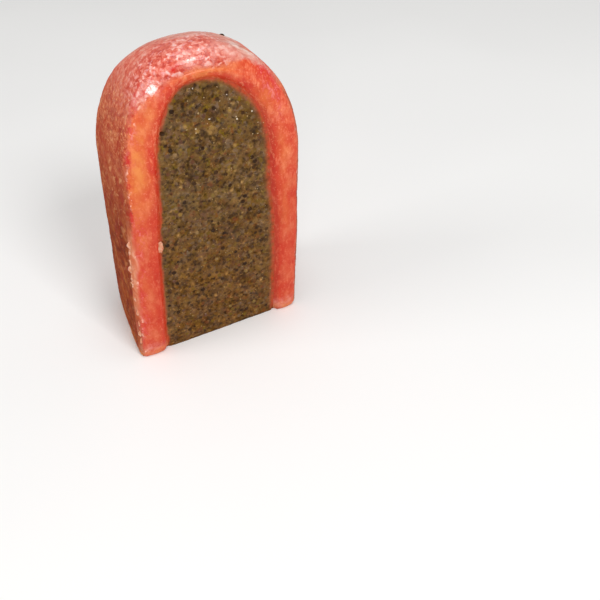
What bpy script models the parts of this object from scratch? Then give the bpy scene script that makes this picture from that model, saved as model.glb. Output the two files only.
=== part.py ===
"""Half of a pressed, loaf-shaped salami, standing on its cut end.

The loaf has one broad flat back, two long sides, a domed rounded end on top
and a broad front. The front holds a sunken arched panel of pepper set in
jelly, which runs down to the cut, between the raised edges of the meat.

Metres, +Z up. The pepper panel faces -Y. The cut end lies on z = 0, with the
origin below the middle of the outline box.
"""

import math

import bmesh
import bpy
import numpy as np

# ---- driving dimensions, metres -------------------------------------------
FOOT_WIDTH = 0.1292        # across the cut end, along X
SHOULDER_WIDTH = 0.1244    # across the loaf where the domed end begins
SIDE_SWELL = 0.0009        # how far each side swells between foot and shoulder
FOOT_LEFT_SPREAD = 0.0022  # the foot reaches this much farther on the left,
FOOT_LEFT_TUCK = 0.0055    # and is drawn in by this much there at the back
HEIGHT = 0.2244            # cut end to the top of the dome
SHOULDER_HEIGHT = 0.1399   # where the straight sides turn into the dome
DEPTH = 0.0817             # front edge to back
LEAN = math.radians(4.0)   # the cut isn't square, so the loaf leans to +X
APEX_SHIFT = -0.0062       # the dome's top lies off the middle
DOME_LEFT = (2.52, 2.15)   # roundness of the dome's left half, across and up;
DOME_RIGHT = (1.82, 2.08)  # and of its right half; 2 and 2 is an ellipse

FRONT_EDGE_ROUND = 0.0055  # rounding between the front and the sides
FRONT_DOME_ROUND = 0.0128  # and between the front and the top of the dome
BACK_EDGE_ROUND = 0.0131   # rounding between the sides and the back
DOME_BACK_DEPTH = 0.0640   # the top falls away to the back over this depth
DOME_BACK_DROP = 0.0715    # and by this height
WALL_SWELL = 0.0008        # the sides' own slight crown, front to back

RIM_LEFT = 0.0245          # width of the raised meat edge left of the pepper
RIM_RIGHT = 0.0242         # right of it
RIM_TOP = 0.0211           # and above it
RIM_LEFT_LESS = 0.0010     # it narrows by this much lower down on the left
RIM_RIGHT_LESS = 0.0029    # and by this much on the right,
RIM_NARROWS = (0.125, 0.085)  # between these two heights
RIM_RISE = 0.0040          # how far that edge stands proud of the pepper
RIM_RAMP = 0.0058          # width of its slope down to the pepper

PEPPER_THICK = 0.0066      # pepper and jelly layer, front to back
PEPPER_CROWN = 0.0007      # its front is slightly domed
GAP = 0.0003               # between the layer and the meat

ARCH_POINTS = 89           # points along each arched loop
EDGE_STEPS = 7             # stations round the front edge
WALL_STEPS = 5             # stations along the sides
BACK_STEPS = 11            # stations round the back edge


def clear_scene():
    for obj in list(bpy.data.objects):
        bpy.data.objects.remove(obj, do_unlink=True)
    for mesh in list(bpy.data.meshes):
        bpy.data.meshes.remove(mesh)


def arch():
    """The loaf's outline from its left foot over the dome to its right foot:
    x, z and the outward normal at evenly spaced points."""
    turn = np.linspace(0.0, math.pi / 2, 200)
    rise = HEIGHT - SHOULDER_HEIGHT

    def dome(half, powers):
        x = half * np.cos(turn) ** (2 / powers[0])
        z = SHOULDER_HEIGHT + rise * np.sin(turn) ** (2 / powers[1])
        return x, z

    left_x, left_z = dome(SHOULDER_WIDTH / 2 + APEX_SHIFT, DOME_LEFT)
    right_x, right_z = dome(SHOULDER_WIDTH / 2 - APEX_SHIFT, DOME_RIGHT)
    level = np.linspace(0.0, SHOULDER_HEIGHT, 60, endpoint=False)
    share = level / SHOULDER_HEIGHT
    spread = (FOOT_WIDTH + (SHOULDER_WIDTH - FOOT_WIDTH) * share) / 2
    spread = spread + SIDE_SWELL * 4 * share * (1 - share)
    x = np.concatenate(
        [
            -(spread + APEX_SHIFT + FOOT_LEFT_SPREAD * (1 - share)),
            -left_x,
            right_x[::-1][1:],
            (spread - APEX_SHIFT)[::-1],
        ]
    )
    z = np.concatenate([level, left_z, right_z[::-1][1:], level[::-1]])
    length = np.concatenate([[0.0], np.cumsum(np.hypot(np.diff(x), np.diff(z)))])
    even = np.linspace(0.0, length[-1], ARCH_POINTS)
    x, z = np.interp(even, length, x), np.interp(even, length, z)
    along_x, along_z = np.gradient(x), np.gradient(z)
    size = np.hypot(along_x, along_z)
    nx, nz = -along_z / size, along_x / size
    for _ in range(3):
        nx[1:-1] = (nx[:-2] + 2 * nx[1:-1] + nx[2:]) / 4
        nz[1:-1] = (nz[:-2] + 2 * nz[1:-1] + nz[2:]) / 4
    return x, z, nx, nz


X, Z, NX, NZ = arch()
UP = np.clip(NZ, 0.0, 1.0)
RIGHTNESS = (NX + 1) / 2
FRONT_ROUND = FRONT_EDGE_ROUND + (FRONT_DOME_ROUND - FRONT_EDGE_ROUND) * UP


def rim_width():
    """The raised edge's width at each point of the arch."""
    begins, ends = RIM_NARROWS
    low = np.clip((begins - Z) / (begins - ends), 0.0, 1.0)
    low = low * low * (3 - 2 * low)
    left, right = RIM_LEFT - RIM_LEFT_LESS * low, RIM_RIGHT - RIM_RIGHT_LESS * low
    side = left * (1 - RIGHTNESS) + right * RIGHTNESS
    return side * (1 - UP) + RIM_TOP * UP


def loop(inset, depth):
    """The arch moved inward by inset, at that depth behind the front, leaning
    with the loaf. Its two ends stay on the cut."""
    x, z = X - NX * inset, Z - NZ * inset
    z = np.maximum(z, 0.0)
    z[0] = z[-1] = 0.0
    y = depth + np.zeros(len(x))
    return np.stack([x + math.tan(LEAN) * z, y, z], axis=1)


def tucked(points):
    """Those points with the left side's foot drawn in towards the back."""
    back = np.clip((points[:, 1] - FRONT_ROUND) / (DEPTH - FRONT_ROUND), 0.0, 1.0)
    low = np.clip(1 - points[:, 2] / SHOULDER_HEIGHT, 0.0, 1.0)
    points[:, 0] += FOOT_LEFT_TUCK * back * low * np.clip(-NX, 0.0, 1.0)
    return points


def front_loops():
    """From the pepper's edge, up the slope, over the raised edge and round to
    the side."""
    width = rim_width()
    loops = []
    for share in (0.0, 0.16, 0.36, 0.58, 0.80, 1.0):
        fall = RIM_RISE * 0.5 * (1 + math.cos(math.pi * share))
        loops.append(loop(width - RIM_RAMP * share, fall))
    crest = (width - RIM_RAMP + FRONT_ROUND) / 2
    loops.append(loop(crest, -0.0002))
    for step in range(EDGE_STEPS + 1):
        angle = math.pi / 2 * step / EDGE_STEPS
        inset = FRONT_ROUND * (1 - math.sin(angle))
        depth = FRONT_ROUND * (1 - math.cos(angle))
        loops.append(loop(inset, depth))
    return loops


def wall_and_back_loops():
    """Along the sides and round onto the flat back. The back is a smaller arch
    than the outline, so that the end is a dome which falls away behind."""
    reach = BACK_EDGE_ROUND + (DOME_BACK_DEPTH - BACK_EDGE_ROUND) * UP
    start = DEPTH - reach
    loops = []
    for step in range(1, WALL_STEPS):
        share = step / WALL_STEPS
        depth = FRONT_ROUND + (start - FRONT_ROUND) * share
        swell = WALL_SWELL * math.sin(math.pi * share) * (1 - UP)
        loops.append(tucked(loop(-swell, depth)))
    narrower = 2 * BACK_EDGE_ROUND / FOOT_WIDTH
    lower = DOME_BACK_DROP / HEIGHT
    for step in range(BACK_STEPS + 1):
        angle = math.pi / 2 * step / BACK_STEPS
        share = 1 - math.cos(angle)
        x, z = X * (1 - narrower * share), Z * (1 - lower * share)
        y = DEPTH - reach * (1 - math.sin(angle))
        z[0] = z[-1] = 0.0
        loops.append(tucked(np.stack([x + math.tan(LEAN) * z, y, z], axis=1)))
    return loops


def close_loops(name, loops, colour, roughness):
    """One closed body: strips between neighbouring loops, a face over the
    first loop, one over the last, and one over the feet at z = 0."""
    bm = bmesh.new()
    rows = [[bm.verts.new(point) for point in points] for points in loops]
    for a, b in zip(rows, rows[1:]):
        for i in range(len(a) - 1):
            bm.faces.new((a[i], a[i + 1], b[i + 1], b[i]))
    bm.faces.new(list(rows[0]))
    bm.faces.new(list(reversed(rows[-1])))
    foot = [row[0] for row in rows] + [row[-1] for row in reversed(rows)]
    bm.faces.new(foot)
    bmesh.ops.triangulate(bm, faces=[f for f in bm.faces if len(f.verts) > 4])
    bmesh.ops.recalc_face_normals(bm, faces=bm.faces)
    mesh = bpy.data.meshes.new(name)
    bm.to_mesh(mesh)
    bm.free()
    mesh.shade_smooth()
    mesh.set_sharp_from_angle(angle=math.radians(40))
    obj = bpy.data.objects.new(name, mesh)
    bpy.context.scene.collection.objects.link(obj)
    material = bpy.data.materials.new(name + "_finish")
    material.use_nodes = True
    shader = material.node_tree.nodes["Principled BSDF"]
    shader.inputs["Base Color"].default_value = colour
    shader.inputs["Roughness"].default_value = roughness
    shader.inputs["Metallic"].default_value = 0.0
    material.diffuse_color = colour
    mesh.materials.append(material)
    return obj


def centred(*groups):
    """Moves every loop so that the loaf's outline box is centred on the origin."""
    points = np.concatenate(groups[0])
    middle = (points.min(axis=0) + points.max(axis=0)) / 2
    middle[2] = 0.0
    return [[points - middle for points in group] for group in groups]


def main():
    clear_scene()
    width = rim_width()
    floor = RIM_RISE + PEPPER_THICK

    meat = [loop(width, floor)] + front_loops() + wall_and_back_loops()

    pepper = [loop(width + GAP, floor - GAP), loop(width + GAP, RIM_RISE + 0.0006)]
    for share in (0.35, 0.75):
        crown = PEPPER_CROWN * (1 - (1 - share) ** 2)
        pepper.append(loop(width + GAP + 0.010 * share, RIM_RISE - crown))
    pepper.append(loop(width + GAP + 0.014, RIM_RISE - PEPPER_CROWN))
    pepper.reverse()

    meat, pepper = centred(meat, pepper)
    close_loops("meat_body", meat, (0.62, 0.13, 0.075, 1.0), 0.34)
    close_loops("pepper_layer", pepper, (0.155, 0.093, 0.040, 1.0), 0.42)


main()
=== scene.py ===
"""The looks of the half salami loaf: mince body, pepper in jelly, peppercorns
and casing shreds, on a pale floor. Metres, +Z up, the panel faces -Y."""

import math

import bmesh
import bpy
import numpy as np
from mathutils import Matrix, Vector
from mathutils.bvhtree import BVHTree
from mathutils.geometry import delaunay_2d_cdt


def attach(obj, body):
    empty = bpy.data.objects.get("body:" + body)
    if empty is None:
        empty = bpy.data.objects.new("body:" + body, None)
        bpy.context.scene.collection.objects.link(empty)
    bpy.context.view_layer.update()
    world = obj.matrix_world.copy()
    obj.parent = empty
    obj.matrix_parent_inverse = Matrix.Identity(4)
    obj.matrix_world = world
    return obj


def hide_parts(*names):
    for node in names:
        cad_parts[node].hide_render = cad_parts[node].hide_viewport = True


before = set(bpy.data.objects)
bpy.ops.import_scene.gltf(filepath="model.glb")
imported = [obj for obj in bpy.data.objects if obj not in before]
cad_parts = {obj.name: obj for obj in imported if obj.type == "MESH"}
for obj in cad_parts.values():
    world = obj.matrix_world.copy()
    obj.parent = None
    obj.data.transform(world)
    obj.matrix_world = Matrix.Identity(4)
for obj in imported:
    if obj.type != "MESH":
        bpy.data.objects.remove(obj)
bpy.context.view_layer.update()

# ---- the loaf's sizes, metres, as its solids have them ---------------------
FOOT_WIDTH = 0.1292
SHOULDER_WIDTH = 0.1244
SIDE_SWELL = 0.0009
FOOT_LEFT_SPREAD = 0.0022
FOOT_LEFT_TUCK = 0.0055
HEIGHT = 0.2244
SHOULDER_HEIGHT = 0.1399
DEPTH = 0.0817
LEAN = math.radians(4.0)
APEX_SHIFT = -0.0062
DOME_LEFT = (2.52, 2.15)
DOME_RIGHT = (1.82, 2.08)
FRONT_EDGE_ROUND = 0.0055
FRONT_DOME_ROUND = 0.0128
BACK_EDGE_ROUND = 0.0131
DOME_BACK_DEPTH = 0.0640
DOME_BACK_DROP = 0.0715
WALL_SWELL = 0.0008
RIM_LEFT = 0.0245
RIM_RIGHT = 0.0242
RIM_TOP = 0.0211
RIM_LEFT_LESS = 0.0010
RIM_RIGHT_LESS = 0.0029
RIM_NARROWS = (0.125, 0.085)
RIM_RISE = 0.0040
RIM_RAMP = 0.0058
PEPPER_THICK = 0.0066
PEPPER_CROWN = 0.0007
GAP = 0.0003

COLUMNS = 481              # points along each arched row of the skin
SLOPE_ROWS = 10            # rows down the raised edge's inner slope
CREST_ROWS = 15            # rows over the raised edge
FOLD_ROWS = 18             # rows round to the side
SKIN_ROWS = 92             # rows over the side and dome to the back
FILL_STEP = 0.0017         # grid step on the back and the cut
GEL_STEP = 0.00070         # grid step on the jelly
MOUND = 0.00028            # how far the jelly rises over each corn
CORN_PITCH = 0.00478       # between neighbouring corns' middles

# ---- the view: turned 26.3 degrees to the panel, 41.8 above level ----------
YAW = math.radians(26.3)
ELEVATION = 0.7302257
ROLL = -0.0291648
FOCAL_PX = 700.0
CAMERA_FROM_CORNER = (-0.1153026, -0.3834400, 0.3854902)


# ---- numbers ----------------------------------------------------------------
def hashed(ix, iy, iz, seed):
    """A number from 0 to 1 for each whole-number cell."""
    h = (
        ix.astype(np.int64) * 73856093
        ^ iy.astype(np.int64) * 19349663
        ^ iz.astype(np.int64) * 83492791
        ^ (seed * 2654435761)
    ) & 0xFFFFFFFF
    h = ((h ^ (h >> 16)) * 0x45D9F3B) & 0xFFFFFFFF
    h = ((h ^ (h >> 16)) * 0x45D9F3B) & 0xFFFFFFFF
    h = h ^ (h >> 16)
    return h.astype(np.float64) / 4294967295.0


def soft_noise(points, size, seed):
    """Smooth noise from -1 to 1, with features about that size."""
    p = points / size
    cell = np.floor(p)
    f = p - cell
    f = f * f * f * (f * (f * 6 - 15) + 10)
    total = 0.0
    for dx in (0, 1):
        for dy in (0, 1):
            for dz in (0, 1):
                w = (
                    (f[:, 0] if dx else 1 - f[:, 0])
                    * (f[:, 1] if dy else 1 - f[:, 1])
                    * (f[:, 2] if dz else 1 - f[:, 2])
                )
                total = total + w * hashed(
                    cell[:, 0] + dx, cell[:, 1] + dy, cell[:, 2] + dz, seed
                )
    return total * 2 - 1


def layered(points, size, seed, octaves=3):
    total, weight = 0.0, 0.0
    for k in range(octaves):
        total = total + soft_noise(points, size / 2**k, seed + 17 * k) / 2**k
        weight += 1 / 2**k
    return total / weight


def smooth(low, high, value):
    t = np.clip((value - low) / (high - low), 0, 1)
    return t * t * (3 - 2 * t)


def colour(r, g, b):
    """A display colour, 0 to 255, as linear light."""
    out = []
    for c in (r, g, b):
        c /= 255
        out.append(c / 12.92 if c <= 0.04045 else ((c + 0.055) / 1.055) ** 2.4)
    return (*out, 1.0)


# ---- the loaf's outline -----------------------------------------------------
def arch(count):
    turn = np.linspace(0.0, math.pi / 2, 600)
    rise = HEIGHT - SHOULDER_HEIGHT

    def dome(half, powers):
        x = half * np.cos(turn) ** (2 / powers[0])
        z = SHOULDER_HEIGHT + rise * np.sin(turn) ** (2 / powers[1])
        return x, z

    left_x, left_z = dome(SHOULDER_WIDTH / 2 + APEX_SHIFT, DOME_LEFT)
    right_x, right_z = dome(SHOULDER_WIDTH / 2 - APEX_SHIFT, DOME_RIGHT)
    level = np.linspace(0.0, SHOULDER_HEIGHT, 200, endpoint=False)
    share = level / SHOULDER_HEIGHT
    spread = (FOOT_WIDTH + (SHOULDER_WIDTH - FOOT_WIDTH) * share) / 2
    spread = spread + SIDE_SWELL * 4 * share * (1 - share)
    x = np.concatenate(
        [
            -(spread + APEX_SHIFT + FOOT_LEFT_SPREAD * (1 - share)),
            -left_x,
            right_x[::-1][1:],
            (spread - APEX_SHIFT)[::-1],
        ]
    )
    z = np.concatenate([level, left_z, right_z[::-1][1:], level[::-1]])
    length = np.concatenate([[0.0], np.cumsum(np.hypot(np.diff(x), np.diff(z)))])
    even = np.linspace(0.0, length[-1], count)
    x, z = np.interp(even, length, x), np.interp(even, length, z)
    along_x, along_z = np.gradient(x), np.gradient(z)
    size = np.hypot(along_x, along_z)
    nx, nz = -along_z / size, along_x / size
    for _ in range(int(3 * (count / 89) ** 2)):
        nx[1:-1] = (nx[:-2] + 2 * nx[1:-1] + nx[2:]) / 4
        nz[1:-1] = (nz[:-2] + 2 * nz[1:-1] + nz[2:]) / 4
    nz = nz * smooth(0.0, 0.03, z)  # level near the cut
    return x, z, nx, nz


X, Z, NX, NZ = arch(COLUMNS)
UP = np.clip(NZ, 0.0, 1.0)
RIGHTNESS = (NX + 1) / 2
FRONT_ROUND = FRONT_EDGE_ROUND + (FRONT_DOME_ROUND - FRONT_EDGE_ROUND) * UP
NARROWED = smooth(*RIM_NARROWS, Z)
RIM = (RIM_LEFT - RIM_LEFT_LESS * NARROWED) * (1 - RIGHTNESS)
RIM = RIM + (RIM_RIGHT - RIM_RIGHT_LESS * NARROWED) * RIGHTNESS
RIM = RIM * (1 - UP) + RIM_TOP * UP


def loop(inset, depth):
    x, z = X - NX * inset, Z - NZ * inset
    z = np.maximum(z, 0.0)
    z[0] = z[-1] = 0.0
    y = depth + np.zeros(len(x))
    return np.stack([x + math.tan(LEAN) * z, y, z], axis=1)


def tucked(points):
    back = np.clip((points[:, 1] - FRONT_ROUND) / (DEPTH - FRONT_ROUND), 0.0, 1.0)
    low = np.clip(1 - points[:, 2] / SHOULDER_HEIGHT, 0.0, 1.0)
    points[:, 0] += FOOT_LEFT_TUCK * back * low * np.clip(-NX, 0.0, 1.0)
    return points


def skin_rows():
    """Evenly spaced rows from the front fold over the side or dome to the edge
    of the flat back."""
    reach = BACK_EDGE_ROUND + (DOME_BACK_DEPTH - BACK_EDGE_ROUND) * UP
    start = DEPTH - reach
    fine = []
    for share in np.linspace(0, 1, 50)[:-1]:
        depth = FRONT_ROUND + (start - FRONT_ROUND) * share
        swell = WALL_SWELL * math.sin(math.pi * share) * (1 - UP)
        fine.append(tucked(loop(-swell, depth)))
    narrower = 2 * BACK_EDGE_ROUND / FOOT_WIDTH
    lower = DOME_BACK_DROP / HEIGHT
    for angle in np.linspace(0, math.pi / 2, 90):
        share = 1 - math.cos(angle)
        x, z = X * (1 - narrower * share), Z * (1 - lower * share)
        y = DEPTH - reach * (1 - math.sin(angle))
        z[0] = z[-1] = 0.0
        fine.append(tucked(np.stack([x + math.tan(LEAN) * z, y, z], axis=1)))
    fine = np.array(fine)
    step = np.linalg.norm(np.diff(fine, axis=0), axis=2)
    length = np.concatenate([np.zeros((1, COLUMNS)), np.cumsum(step, axis=0)])
    rows = np.empty((SKIN_ROWS, COLUMNS, 3))
    for i in range(COLUMNS):
        even = np.linspace(0, length[-1, i], SKIN_ROWS)
        for axis in range(3):
            rows[:, i, axis] = np.interp(even, length[:, i], fine[:, i, axis])
    return rows


def inside(points, outline):
    hit = np.zeros(len(points), bool)
    a, b = outline, np.roll(outline, -1, axis=0)
    for p, q in zip(a, b):
        if p[1] == q[1]:
            continue
        crosses = (p[1] > points[:, 1]) != (q[1] > points[:, 1])
        at = p[0] + (points[:, 1] - p[1]) / (q[1] - p[1]) * (q[0] - p[0])
        hit ^= crosses & (points[:, 0] < at)
    return hit


def fill(edge, step, inner_margin):
    """A flat outline, as 2-D points in order, filled with an even grid of
    triangles. Returns the points, outline first, and the triangles."""
    edge = np.asarray(edge)
    low, high = edge.min(axis=0), edge.max(axis=0)
    grid = []
    row = 0
    v = low[1] + step * 0.5
    while v < high[1]:
        # the outline's crossings of this level
        a, b = edge, np.roll(edge, -1, axis=0)
        hit = (a[:, 1] > v) != (b[:, 1] > v)
        cross = a[hit, 0] + (v - a[hit, 1]) / (b[hit, 1] - a[hit, 1]) * (
            b[hit, 0] - a[hit, 0]
        )
        cross = np.sort(cross)
        shift = (row % 2) * step / 2
        for s, e in zip(cross[::2], cross[1::2]):
            first = math.ceil((s + inner_margin - low[0] - shift) / step)
            last = math.floor((e - inner_margin - low[0] - shift) / step)
            for k in range(first, last + 1):
                grid.append((low[0] + shift + k * step, v))
        v += step * 0.866
        row += 1
    grid = np.array(grid)
    # nothing closer to the outline than the margin
    keep = np.ones(len(grid), bool)
    for p in edge:
        keep &= ((grid - p) ** 2).sum(axis=1) > inner_margin**2
    grid = grid[keep]
    points = np.concatenate([edge, grid])
    count = len(edge)
    made = delaunay_2d_cdt(
        [Vector(p) for p in points],
        [(i, (i + 1) % count) for i in range(count)],
        [],
        1,
        1e-9,
        True,
    )
    places, _, faces, origins = made[0], made[1], made[2], made[3]
    back = np.array([o[0] if o else -1 for o in origins])
    triangles = [tuple(int(back[i]) for i in f) for f in faces]
    triangles = [t for t in triangles if len(t) == 3 and min(t) >= 0]
    middles = np.array([points[list(t)].mean(axis=0) for t in triangles])
    kept = inside(middles, edge)
    return points, [t for t, ok in zip(triangles, kept) if ok]


def mesh_object(name, points, faces, masks=None):
    """A smooth closed mesh, its faces turned outward, with a number for each
    point under each mask's name."""
    mesh = bpy.data.meshes.new(name)
    mesh.from_pydata([tuple(p) for p in points], [], faces)
    bm = bmesh.new()
    bm.from_mesh(mesh)
    bmesh.ops.recalc_face_normals(bm, faces=bm.faces)
    bm.to_mesh(mesh)
    bm.free()
    mesh.shade_smooth()
    for key, values in (masks or {}).items():
        layer = mesh.attributes.new(key, "FLOAT", "POINT")
        layer.data.foreach_set("value", np.asarray(values, np.float32))
    obj = bpy.data.objects.new(name, mesh)
    bpy.context.scene.collection.objects.link(obj)
    return obj


def normals_of(points, faces):
    """Each point's outward normal, by face area."""
    tri = np.array(faces)
    a, b, c = points[tri[:, 0]], points[tri[:, 1]], points[tri[:, 2]]
    n = np.cross(b - a, c - a)
    out = np.zeros_like(points)
    for k in range(3):
        np.add.at(out, tri[:, k], n)
    return out / np.maximum(np.linalg.norm(out, axis=1, keepdims=True), 1e-12)


# ---- the camera, and what a point of the picture shows ----------------------
def turned(v):
    """A direction in the view's own level frame, +Y away, in the loaf's frame."""
    c, s = math.cos(YAW), math.sin(YAW)
    return np.array([c * v[0] + s * v[1], -s * v[0] + c * v[1], v[2]])


MIDDLE = None  # set with the skin, the middle of the solids' outline box


def camera_axes():
    forward = np.array([0, math.cos(ELEVATION), -math.sin(ELEVATION)])
    up = np.array([0, math.sin(ELEVATION), math.cos(ELEVATION)])
    right = np.array([1.0, 0, 0])
    r = math.cos(ROLL) * right + math.sin(ROLL) * up
    u = -math.sin(ROLL) * right + math.cos(ROLL) * up
    return turned(r), turned(u), turned(forward)


# ---- the mince body ---------------------------------------------------------
def meat_geometry():
    rows, kinds = [], []

    def add(points, **masks):
        rows.append(points)
        kinds.append(masks)

    far = np.full(COLUMNS, -1.0)
    none = np.zeros(COLUMNS)
    add(loop(RIM, RIM_RISE + PEPPER_THICK), inset=far, slope=none)
    for share in np.linspace(0, 1, SLOPE_ROWS + 1):
        fall = RIM_RISE * 0.5 * (1 + math.cos(math.pi * share))
        inset = RIM - RIM_RAMP * share
        add(loop(inset, fall), inset=inset, slope=none + 1 - share)
    for share in np.linspace(0, 1, CREST_ROWS + 2)[1:-1]:
        inset = (RIM - RIM_RAMP) * (1 - share) + FRONT_ROUND * share
        bulge = 0.0006 * math.sin(math.pi * share)
        add(loop(inset, -bulge), inset=inset, slope=none)
    for step in range(FOLD_ROWS):
        angle = math.pi / 2 * step / FOLD_ROWS
        inset = FRONT_ROUND * (1 - math.sin(angle))
        depth = FRONT_ROUND * (1 - math.cos(angle))
        add(loop(inset, depth), inset=inset, slope=none)
    for points in skin_rows():
        add(points, inset=far, slope=none)
    grid = np.array(rows)
    count = len(rows)
    points = grid.reshape(-1, 3)
    index = np.arange(count * COLUMNS).reshape(count, COLUMNS)
    a, b = index[:-1, :-1].ravel(), index[:-1, 1:].ravel()
    c, d = index[1:, 1:].ravel(), index[1:, :-1].ravel()
    faces = np.concatenate([np.stack([a, b, c], 1), np.stack([a, c, d], 1)]).tolist()

    inset = np.concatenate([k["inset"] for k in kinds])
    slope = np.concatenate([k["slope"] for k in kinds])
    row_of = np.repeat(np.arange(count), COLUMNS)
    column_of = np.tile(np.arange(COLUMNS), count)

    # the pocket's floor, behind the pepper
    floor = index[0]
    flat, triangles = fill(points[floor][:, [0, 2]], 0.02, 0.006)
    extra = flat[len(floor):]
    place = np.stack(
        [extra[:, 0], np.full(len(extra), RIM_RISE + PEPPER_THICK), extra[:, 1]], 1
    )
    names = np.concatenate([floor, len(points) + np.arange(len(extra))])
    faces += [[int(names[i]) for i in t] for t in triangles]
    points = np.concatenate([points, place])

    # the flat back, with its own row of points along the cut
    left, right = index[-1][0], index[-1][-1]
    width = points[right, 0] - points[left, 0]
    steps = int(width / FILL_STEP)
    along = np.linspace(0, 1, steps + 1)[1:-1]
    bottom = len(points) + np.arange(len(along))
    points = np.concatenate(
        [points, points[left] * (1 - along[:, None]) + points[right] * along[:, None]]
    )
    ring = np.concatenate([index[-1], bottom[::-1]])
    flat, triangles = fill(points[ring][:, [0, 2]], FILL_STEP, FILL_STEP * 0.6)
    extra = flat[len(ring):]
    place = np.stack([extra[:, 0], np.full(len(extra), DEPTH), extra[:, 1]], 1)
    names = np.concatenate([ring, len(points) + np.arange(len(extra))])
    faces += [[int(names[i]) for i in t] for t in triangles]
    points = np.concatenate([points, place])

    # the cut end, on z = 0
    ring = np.concatenate([index[:, 0], bottom, index[::-1, -1]])
    flat, triangles = fill(points[ring][:, [0, 1]], FILL_STEP, FILL_STEP * 0.6)
    extra = flat[len(ring):]
    place = np.stack([extra[:, 0], extra[:, 1], np.zeros(len(extra))], 1)
    names = np.concatenate([ring, len(points) + np.arange(len(extra))])
    faces += [[int(names[i]) for i in t] for t in triangles]
    cut_from = len(points)
    points = np.concatenate([points, place])

    total = len(points)
    grown = lambda values, rest=0.0: np.concatenate(
        [values, np.full(total - len(values), rest)]
    )
    cut = np.zeros(total)
    cut[cut_from:] = 1.0
    return {
        "points": points,
        "faces": faces,
        "inset": grown(inset, -1.0),
        "slope": grown(slope),
        "row": grown(row_of, count),
        "column": grown(column_of, -1),
        "cut": cut,
        "rows": count,
    }


geo = meat_geometry()
P = geo["points"]
low, high = P.min(axis=0), P.max(axis=0)
# the skin's fold bulges a little in front of the solids' outline
MIDDLE = np.array([(low[0] + high[0]) / 2, (DEPTH - 0.0002) / 2, 0.0])
P = P - MIDDLE
CAMERA = np.array(CAMERA_FROM_CORNER) - MIDDLE
RIGHT, UPWARD, FORWARD = camera_axes()


def sight(u, v):
    """The direction in which the camera sees that point of its 600 x 600 view."""
    d = FORWARD * FOCAL_PX + RIGHT * (u - 300.0) + UPWARD * (300.0 - v)
    return d / np.linalg.norm(d)


def on_skin(tree, u, v):
    """Where that line of sight meets the surface, and the surface's normal."""
    hit = tree.ray_cast(Vector(CAMERA), Vector(sight(u, v)))
    if hit[0] is None:
        return None, None
    return np.array(hit[0]), np.array(hit[1])


# outward normals of the plain shape, and the tree that sight lines meet
faces = geo["faces"]
plain = mesh_object("plain", P, faces)
P_NORMAL = np.array([tuple(v.normal) for v in plain.data.vertices])
tree = BVHTree.FromPolygons(
    [tuple(v.co) for v in plain.data.vertices],
    [tuple(p.vertices) for p in plain.data.polygons],
)
bpy.data.objects.remove(plain, do_unlink=True)

INSET, SLOPE, CUT = geo["inset"], geo["slope"], geo["cut"]
COLUMN = np.clip(geo["column"], 0, COLUMNS - 1).astype(int)
HIGH = UP[COLUMN] * (geo["column"] >= 0)   # how far up the dome the column lies
LEFTWARD = np.where(geo["column"] >= 0, -NX[COLUMN], 0.0)
# the film of the raised edge ends near the fold on the sides, lower on the dome,
# but covers the right shoulder
BARE = smooth(0.36, 0.97, HIGH) * (1 - smooth(0.22, 0.62, -LEFTWARD))
shaken = INSET + (0.0014 + 0.0016 * HIGH) * layered(P, 0.0065, 37, 3)
RIMNESS = smooth(
    0.0006 * (1 - BARE) + 0.0070 * BARE, 0.0046 * (1 - BARE) + 0.0160 * BARE, shaken
) * (INSET > -0.5)
over_shoulder = smooth(0.42, 0.70, -LEFTWARD) * smooth(0.05, 0.25, HIGH) * (geo["row"] > 2) * (INSET < -0.5)
reach_back = P[:, 1] + MIDDLE[1] + 0.013 * layered(P, 0.016, 43, 4)
RIMNESS = np.maximum(RIMNESS, over_shoulder * smooth(0.058, 0.004, reach_back))
SKIN = 1 - np.maximum(RIMNESS, CUT)
HEIGHT_AT = P[:, 2]

def patches(spots):
    """How strongly each point lies in soft-edged patches: picture point,
    radius along and across the loaf's height in mm, and strength."""
    total = np.zeros(len(P))
    for u, v, tall, wide, strength in spots:
        centre, _ = on_skin(tree, u, v)
        if centre is None:
            continue
        d = P - centre
        ragged = 1 + 0.35 * soft_noise(P + 0.3, 0.006, 41)
        r = np.sqrt((d[:, 2] / tall) ** 2 + (d[:, 0] ** 2 + d[:, 1] ** 2) / wide**2)
        total = np.maximum(total, strength * np.exp(-((r * 1000 / ragged) ** 2)))
    return total


# relief: slow swells, then the mince's own lumps where it isn't under film
relief = 0.00055 * layered(P, 0.034, 3, 2)
relief += (0.00012 + 0.00016 * SKIN) * layered(P, 0.0085, 11, 2)
stretch = P * np.array([0.8, 0.45, 1.2])
lumps = 1 - np.abs(soft_noise(stretch + 0.0012 * layered(P, 0.006, 5, 2)[:, None], 0.0034, 23))
relief += SKIN * 0.00022 * (lumps - 0.6)
relief += SKIN * 0.00010 * soft_noise(P * np.array([1.0, 0.5, 1.0]), 0.0022, 29)
relief += RIMNESS * 0.00008 * soft_noise(P, 0.0045, 31)
relief *= 1 - 0.6 * patches([(151, 90, 8, 8, 1.0), (190, 60, 6, 10, 1.0), (212, 55, 7, 10, 1.0)])
back_flat = smooth(0.97, 0.999, P_NORMAL[:, 1])
relief = relief * (1 - 0.75 * back_flat) * (1 - CUT)
relief -= np.clip(relief, 0, None) * 0.35
# the pocket's wall stays where the pepper needs it
pocket = (geo["row"] < 2).astype(float)
relief *= 1 - pocket
P2 = P + P_NORMAL * relief[:, None]
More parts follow.
